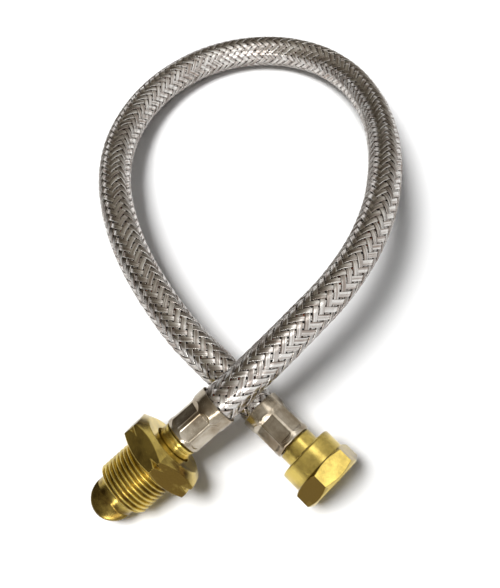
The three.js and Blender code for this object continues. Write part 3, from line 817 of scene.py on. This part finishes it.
def female_nut(material):
    """The swivel nut: a turned barrel, a hexagon at its mouth and a thread inside."""
    back = FEMALE_BACK
    mouth = back + FEMALE_LENGTH
    hex_back = mouth - FEMALE_HEX_LENGTH
    corner = FEMALE_ACROSS / math.sqrt(3) + HEX_SPARE
    back_drop = (corner - FEMALE_BACK_RIM) * CHAMFER_SLOPE
    mouth_drop = (corner - FEMALE_MOUTH_RIM) * CHAMFER_SLOPE
    root = FEMALE_THREAD_RADIUS
    crest = root - FEMALE_THREAD_DEPTH
    bore = COLLAR_RADIUS + TOUCH
    first = mouth - 0.9 * MM - FEMALE_THREAD_TURNS * FEMALE_PITCH
    corners = [
        (bore, back, 0.2 * MM), (FEMALE_BARREL_RADIUS, back, 0.9 * MM),
        (FEMALE_BARREL_RADIUS, hex_back + 0.05 * MM, 0.05 * MM),
        (corner, hex_back + back_drop, 0.05 * MM), (corner, mouth - mouth_drop, 0.05 * MM),
        (FEMALE_MOUTH_RIM, mouth, 0.15 * MM), (root + 0.5 * MM, mouth, 0.1 * MM),
        (root, mouth - 0.5 * MM, 0.1 * MM), (root, back + FEMALE_WEB), (bore, back + FEMALE_WEB),
    ]
    flats = hexagon_rule(FEMALE_ACROSS, hex_back - 0.05 * MM, mouth + 0.1 * MM)
    thread = thread_rule(
        root, crest, FEMALE_PITCH, first, mouth - 0.8 * MM, hand=1, fade=0.8 * MM
    )

    def shape(radius, height, angles):
        return thread(flats(radius, height, angles), height, angles)

    profile = rounded(corners, NUT_ROUNDING, NUT_STEP)
    angles = clustered_angles(6, NUT_ANGLES_PER_FLAT)
    # Painted shade on the flats, chamfers and thread roots of this nut
    dull = painted_flat_shade(FEMALE_FLAT_PAINTED_SHADE, FEMALE_BACK_RIM, root, crest, first)
    return turned_piece(
        "female_nut_fine", profile, angles, FEMALE_AXES, FEMALE_BELL, material, shape, dull
    )


def stand_for(piece, body, node):
    """The fine piece moves with the body and hides the CAD node."""
    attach(piece, body)
    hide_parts(node)


def background_rays(tree):
    """The socket that is 1 for camera, glossy and transmission rays, and 0 for the others."""
    path = add_node(tree, "ShaderNodeLightPath", (-1100, -200))
    seen = add_node(tree, "ShaderNodeMath", (-900, -200), operation="MAXIMUM")
    seen_or_through = add_node(tree, "ShaderNodeMath", (-700, -200), operation="MAXIMUM")
    tree.links.new(path.outputs["Is Camera Ray"], seen.inputs[0])
    tree.links.new(path.outputs["Is Glossy Ray"], seen.inputs[1])
    tree.links.new(seen.outputs["Value"], seen_or_through.inputs[0])
    tree.links.new(path.outputs["Is Transmission Ray"], seen_or_through.inputs[1])
    return seen_or_through.outputs["Value"]


def make_floor():
    """A plain floor that is white to the camera and in reflections, and keeps the hose's shadow.

    Far from the hose it glows white to those rays only, so it meets the white wall without an edge."""
    material, tree, shader = new_material("studio_floor")
    shader.inputs["Roughness"].default_value = 0.9
    shader.inputs["Specular IOR Level"].default_value = 0.1
    background = background_rays(tree)
    colour = colour_mix(tree, (-200, 0), FLOOR_GREY, WHITE)
    where = tree.nodes.new("ShaderNodeTexCoord")
    away = add_node(tree, "ShaderNodeVectorMath", (-600, 400), operation="LENGTH")
    far = map_range(
        tree, (-400, 400), ends_from=(FLOOR_PALE_FROM, FLOOR_PALE_TO),
        interpolation_type="SMOOTHSTEP",
    )
    pale = add_node(tree, "ShaderNodeMath", (-200, 400), operation="MULTIPLY")
    glow = add_node(tree, "ShaderNodeEmission", (0, 200), Strength=1.0)
    blend = tree.nodes.new("ShaderNodeMixShader")
    link = tree.links.new
    link(background, colour.inputs["Factor"])
    link(colour.outputs["Result"], shader.inputs["Base Color"])
    link(where.outputs["Object"], away.inputs[0])
    link(away.outputs["Value"], far.inputs["Value"])
    link(far.outputs["Result"], pale.inputs[0])
    link(background, pale.inputs[1])
    link(pale.outputs["Value"], blend.inputs["Fac"])
    link(shader.outputs["BSDF"], blend.inputs[1])
    link(glow.outputs["Emission"], blend.inputs[2])
    link(blend.outputs["Shader"], tree.nodes["Material Output"].inputs["Surface"])
    points = FLOOR_HALF_WIDTH * np.array([[-1, -1, 0], [1, -1, 0], [1, 1, 0], [-1, 1, 0]])
    floor = new_mesh("studio_floor", points, np.array([[0, 1, 2, 3]]), points[:, :2], material)


def lamp(name, place, size, power, shows_in_metal, roll_deg=0):
    """A rectangular area lamp that faces the object's middle, turned about that line by the roll.

    It either lights the dull surfaces and casts the shadow, or shows in the metal."""
    data = bpy.data.lights.new(name, "AREA")
    data.shape = "RECTANGLE"
    data.size, data.size_y = size
    data.energy = power
    light = bpy.data.objects.new(name, data)
    light.location = place
    towards = Vector((0, 0, 0.02)) - Vector(place)
    aim = towards.to_track_quat("-Z", "Y") @ Quaternion((0, 0, 1), math.radians(roll_deg))
    light.rotation_euler = aim.to_euler()
    light.visible_glossy = shows_in_metal
    light.visible_diffuse = not shows_in_metal
    bpy.context.scene.collection.objects.link(light)


def make_world():
    """A white wall low down, and above it a room bright to the right and in front, dim opposite.

    The room's level follows the direction's share along BRIGHT_SIDE. Diffuse rays get an even fill."""
    world = bpy.data.worlds.new("studio")
    bpy.context.scene.world = world
    world.use_nodes = True
    tree = world.node_tree
    where = tree.nodes.new("ShaderNodeTexCoord")
    share = add_node(tree, "ShaderNodeVectorMath", (-900, 200), operation="DOT_PRODUCT")
    share.inputs[1].default_value = BRIGHT_SIDE
    level = map_range(tree, (-700, 200), ends_from=(-1, 1))
    ramp = tree.nodes.new("ShaderNodeValToRGB")
    stops = ramp.color_ramp.elements
    for place, colour in WORLD_STOPS[2:]:
        stops.new(place)
    for stop, (place, colour) in zip(stops, WORLD_STOPS):
        stop.position = place
        stop.color = (*colour, 1)
    split = tree.nodes.new("ShaderNodeSeparateXYZ")
    low_down = map_range(
        tree, (-500, 400), ends_from=WALL_TOP[::-1], interpolation_type="SMOOTHSTEP"
    )
    room = colour_mix(tree, (-300, 200), WHITE, WHITE)
    colour = colour_mix(tree, (-100, 0), WORLD_FILL, WHITE)
    link = tree.links.new
    link(where.outputs["Generated"], split.inputs["Vector"])
    link(split.outputs["Z"], low_down.inputs["Value"])
    link(low_down.outputs["Result"], room.inputs["Factor"])
    link(ramp.outputs["Color"], room.inputs["A"])
    link(where.outputs["Generated"], share.inputs[0])
    link(share.outputs["Value"], level.inputs["Value"])
    link(level.outputs["Result"], ramp.inputs["Fac"])
    link(background_rays(tree), colour.inputs["Factor"])
    link(room.outputs["Result"], colour.inputs["B"])
    link(colour.outputs["Result"], tree.nodes["Background"].inputs["Color"])


def make_light():
    """Studio light: the key lamp casts the shadow, the other two and the world show in metal."""
    lamp("key_lamp", (-0.95, -0.42, 2.35), (1.0, 1.0), 77, shows_in_metal=False)
    lamp("overhead_box", (0.25, 0.03, 0.93), (0.35, 0.35), 0.65, shows_in_metal=True)
    lamp("front_strip", (-0.13, -1.00, 0.58), (1.1, 0.13), 4.5, shows_in_metal=True, roll_deg=24)
    bpy.context.scene.view_settings.view_transform = "Standard"


make_camera()
hose = HoseLine()

steel = wire_steel()
brass = metal("fitting_brass", BRASS_YELLOW, BRASS_TARNISH_AND_SHADE, (0.14, 0.30))
nut_brass = metal("nut_brass", BRASS_YELLOW, BRASS_TARNISH_AND_SHADE, (0.14, 0.32), tarnish=(0.45, 0.8))
nickel = metal("ferrule_nickel", NICKEL_LIGHT, NICKEL_WARM, (0.08, 0.24), tarnish=(0.35, 0.6))

wires_right = braid_bands("braid_wires_right", hose, 1, steel)
wires_left = braid_bands("braid_wires_left", hose, -1, steel)
tube = rubber_tube(hose, rubber("hose_rubber", RUBBER_BLACK, RUBBER_RUST, 0.75))
stand_for(wires_right, "hose", "braid_sleeve")
stand_for(wires_left, "hose", "braid_sleeve")
stand_for(tube, "hose", "hose_liner")

male_ferrule = ferrule("ferrule_male_end_fine", MALE_AXES, MALE_BELL, nickel)
stand_for(male_ferrule, "hose", "ferrule_male_end")
stand_for(bull_nose_spigot(brass), "hose", "bull_nose_spigot")
stand_for(male_nut(nut_brass), "male_nut", "male_nut")
female_ferrule = ferrule("ferrule_female_end_fine", FEMALE_AXES, FEMALE_BELL, nickel)
stand_for(female_ferrule, "hose", "ferrule_female_end")
stand_for(flat_seat_tail(brass), "hose", "flat_seat_tail")
washer = sealing_washer(rubber("washer_rubber", WASHER_BLACK, WASHER_BLOOM, 0.6))
stand_for(washer, "hose", "sealing_washer")
stand_for(female_nut(nut_brass), "female_nut", "female_nut")

make_floor()
make_world()
make_light()
